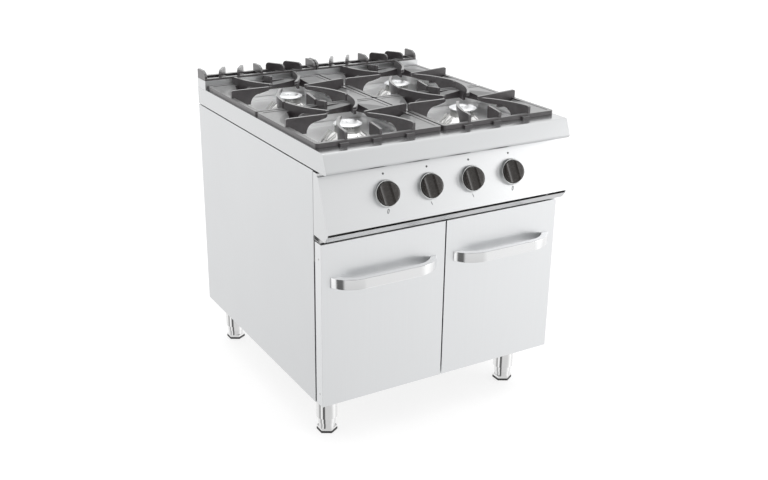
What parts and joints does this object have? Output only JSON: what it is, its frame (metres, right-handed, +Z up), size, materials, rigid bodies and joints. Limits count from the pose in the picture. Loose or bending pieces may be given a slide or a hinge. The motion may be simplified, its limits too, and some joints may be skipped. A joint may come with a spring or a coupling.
{
  "type": "commercial gas range",
  "caption": "Free-standing four-burner gas cooking range on a two-door cabinet, with lift-off cast grates, push-and-turn taps and screw feet.",
  "frame": {"origin": "on the floor, under the centre of the bounding box", "axes": "+Z up; -Y the front, where the doors and knobs face; +X to the right of someone standing in front; +Y the back with the gas inlet"},
  "size_m": [0.8, 0.9322, 0.959],
  "materials": {
    "stainless_sheet": "fine brushed, bright",
    "tray_steel": "bright pressed",
    "cast_iron": "matt black enamel on cast iron",
    "burner_alloy": "satin cast",
    "burner_cap_steel": "polished",
    "bright_trim": "polished",
    "knob_plastic": "semi-gloss black",
    "zinc_steel": "zinc plated",
    "brass_fittings": "machined",
    "tube_metal": "drawn tube",
    "pipe_steel": "dark primer",
    "handle_metal": "polished",
    "magnet_housing": "moulded",
    "leg_metal": "polished",
    "panel_print": "printed marks on the control panel",
    "foot_rubber": "thin glide under each foot"
  },
  "bodies": {
    "cabinet": {"side_panel_left": "stainless_sheet", "side_panel_right": "stainless_sheet", "back_panel": "stainless_sheet", "cabinet_floor": "stainless_sheet", "front_frame": "stainless_sheet", "heat_shield": "stainless_sheet", "control_panel": "stainless_sheet", "hob_top": "stainless_sheet", "hob_wells": "stainless_sheet", "flue_riser": "stainless_sheet", "drip_tray_fl": "tray_steel", "drip_tray_fr": "tray_steel", "drip_tray_rl": "tray_steel", "drip_tray_rr": "tray_steel", "burner_body_fl": "burner_alloy", "burner_body_fr": "burner_alloy", "burner_body_rl": "burner_alloy", "burner_body_rr": "burner_alloy", "knob_bezels": "bright_trim", "gas_valves": "brass_fittings", "gas_manifold": "pipe_steel", "gas_inlet": "brass_fittings", "supply_tubes": "tube_metal", "injectors": "brass_fittings", "pilot_burners": "zinc_steel", "hinge_pins": "zinc_steel", "door_magnets": "magnet_housing", "leg_sleeves": "leg_metal"},
    "door_left": {"door_skin_left": "stainless_sheet", "door_liner_left": "stainless_sheet", "door_handle_left": "handle_metal"},
    "door_right": {"door_skin_right": "stainless_sheet", "door_liner_right": "stainless_sheet", "door_handle_right": "handle_metal"},
    "tap_stem_1": {"valve_spindle_1": "zinc_steel"},
    "tap_knob_1": {"knob_1": "knob_plastic"},
    "tap_stem_2": {"valve_spindle_2": "zinc_steel"},
    "tap_knob_2": {"knob_2": "knob_plastic"},
    "tap_stem_3": {"valve_spindle_3": "zinc_steel"},
    "tap_knob_3": {"knob_3": "knob_plastic"},
    "tap_stem_4": {"valve_spindle_4": "zinc_steel"},
    "tap_knob_4": {"knob_4": "knob_plastic"},
    "burner_ring_fl": {"burner_head_fl": "burner_alloy"},
    "burner_lid_fl": {"burner_cap_fl": "burner_cap_steel"},
    "pan_support_fl": {"grate_fl": "cast_iron"},
    "burner_ring_fr": {"burner_head_fr": "burner_alloy"},
    "burner_lid_fr": {"burner_cap_fr": "burner_cap_steel"},
    "pan_support_fr": {"grate_fr": "cast_iron"},
    "burner_ring_rl": {"burner_head_rl": "burner_alloy"},
    "burner_lid_rl": {"burner_cap_rl": "burner_cap_steel"},
    "pan_support_rl": {"grate_rl": "cast_iron"},
    "burner_ring_rr": {"burner_head_rr": "burner_alloy"},
    "burner_lid_rr": {"burner_cap_rr": "burner_cap_steel"},
    "pan_support_rr": {"grate_rr": "cast_iron"},
    "flue_cover_left": {"flue_grille_left": "cast_iron"},
    "flue_cover_right": {"flue_grille_right": "cast_iron"},
    "leg_foot_fl": {"foot_fl": "leg_metal"},
    "leg_foot_fr": {"foot_fr": "leg_metal"},
    "leg_foot_rl": {"foot_rl": "leg_metal"},
    "leg_foot_rr": {"foot_rr": "leg_metal"}
  },
  "joints": [
    {"name": "door_left_hinge", "type": "hinge", "parent": "cabinet", "child": "door_left", "pos_m": [-0.39, -0.392, 0.4], "axis": [0, 0, -1], "range_deg": [0, 110]},
    {"name": "door_right_hinge", "type": "hinge", "parent": "cabinet", "child": "door_right", "pos_m": [0.39, -0.392, 0.4], "axis": [0, 0, 1], "range_deg": [0, 110]},
    {"name": "tap_1_push", "type": "slide", "parent": "cabinet", "child": "tap_stem_1", "axis": [0, 0.9442, -0.3295], "range_m": [0, 0.003], "stiffness_N_per_m": 2000, "springref_m": -0.002},
    {"name": "tap_1_turn", "type": "hinge", "parent": "tap_stem_1", "child": "tap_knob_1", "pos_m": [-0.2085, -0.42852, 0.763], "axis": [0, -0.9442, 0.3295], "range_deg": [0, 210]},
    {"name": "tap_2_push", "type": "slide", "parent": "cabinet", "child": "tap_stem_2", "axis": [0, 0.9442, -0.3295], "range_m": [0, 0.003], "stiffness_N_per_m": 2000, "springref_m": -0.002},
    {"name": "tap_2_turn", "type": "hinge", "parent": "tap_stem_2", "child": "tap_knob_2", "pos_m": [-0.0695, -0.42852, 0.763], "axis": [0, -0.9442, 0.3295], "range_deg": [0, 210]},
    {"name": "tap_3_push", "type": "slide", "parent": "cabinet", "child": "tap_stem_3", "axis": [0, 0.9442, -0.3295], "range_m": [0, 0.003], "stiffness_N_per_m": 2000, "springref_m": -0.002},
    {"name": "tap_3_turn", "type": "hinge", "parent": "tap_stem_3", "child": "tap_knob_3", "pos_m": [0.0695, -0.42852, 0.763], "axis": [0, -0.9442, 0.3295], "range_deg": [0, 210]},
    {"name": "tap_4_push", "type": "slide", "parent": "cabinet", "child": "tap_stem_4", "axis": [0, 0.9442, -0.3295], "range_m": [0, 0.003], "stiffness_N_per_m": 2000, "springref_m": -0.002},
    {"name": "tap_4_turn", "type": "hinge", "parent": "tap_stem_4", "child": "tap_knob_4", "pos_m": [0.2085, -0.42852, 0.763], "axis": [0, -0.9442, 0.3295], "range_deg": [0, 210]},
    {"name": "burner_ring_fl_lift", "type": "slide", "parent": "cabinet", "child": "burner_ring_fl", "axis": [0, 0, 1], "range_m": [0, 0.08]},
    {"name": "burner_lid_fl_lift", "type": "slide", "parent": "burner_ring_fl", "child": "burner_lid_fl", "axis": [0, 0, 1], "range_m": [0, 0.06]},
    {"name": "pan_support_fl_lift", "type": "slide", "parent": "cabinet", "child": "pan_support_fl", "axis": [0, 0, 1], "range_m": [0, 0.1]},
    {"name": "burner_ring_fr_lift", "type": "slide", "parent": "cabinet", "child": "burner_ring_fr", "axis": [0, 0, 1], "range_m": [0, 0.08]},
    {"name": "burner_lid_fr_lift", "type": "slide", "parent": "burner_ring_fr", "child": "burner_lid_fr", "axis": [0, 0, 1], "range_m": [0, 0.06]},
    {"name": "pan_support_fr_lift", "type": "slide", "parent": "cabinet", "child": "pan_support_fr", "axis": [0, 0, 1], "range_m": [0, 0.1]},
    {"name": "burner_ring_rl_lift", "type": "slide", "parent": "cabinet", "child": "burner_ring_rl", "axis": [0, 0, 1], "range_m": [0, 0.08]},
    {"name": "burner_lid_rl_lift", "type": "slide", "parent": "burner_ring_rl", "child": "burner_lid_rl", "axis": [0, 0, 1], "range_m": [0, 0.06]},
    {"name": "pan_support_rl_lift", "type": "slide", "parent": "cabinet", "child": "pan_support_rl", "axis": [0, 0, 1], "range_m": [0, 0.1]},
    {"name": "burner_ring_rr_lift", "type": "slide", "parent": "cabinet", "child": "burner_ring_rr", "axis": [0, 0, 1], "range_m": [0, 0.08]},
    {"name": "burner_lid_rr_lift", "type": "slide", "parent": "burner_ring_rr", "child": "burner_lid_rr", "axis": [0, 0, 1], "range_m": [0, 0.06]},
    {"name": "pan_support_rr_lift", "type": "slide", "parent": "cabinet", "child": "pan_support_rr", "axis": [0, 0, 1], "range_m": [0, 0.1]},
    {"name": "flue_cover_left_lift", "type": "slide", "parent": "cabinet", "child": "flue_cover_left", "axis": [0, 0, 1], "range_m": [0, 0.06]},
    {"name": "flue_cover_right_lift", "type": "slide", "parent": "cabinet", "child": "flue_cover_right", "axis": [0, 0, 1], "range_m": [0, 0.06]},
    {"name": "leg_foot_fl_height", "type": "slide", "parent": "cabinet", "child": "leg_foot_fl", "axis": [0, 0, -1], "range_m": [0, 0.04]},
    {"name": "leg_foot_fr_height", "type": "slide", "parent": "cabinet", "child": "leg_foot_fr", "axis": [0, 0, -1], "range_m": [0, 0.04]},
    {"name": "leg_foot_rl_height", "type": "slide", "parent": "cabinet", "child": "leg_foot_rl", "axis": [0, 0, -1], "range_m": [0, 0.04]},
    {"name": "leg_foot_rr_height", "type": "slide", "parent": "cabinet", "child": "leg_foot_rr", "axis": [0, 0, -1], "range_m": [0, 0.04]}
  ]
}
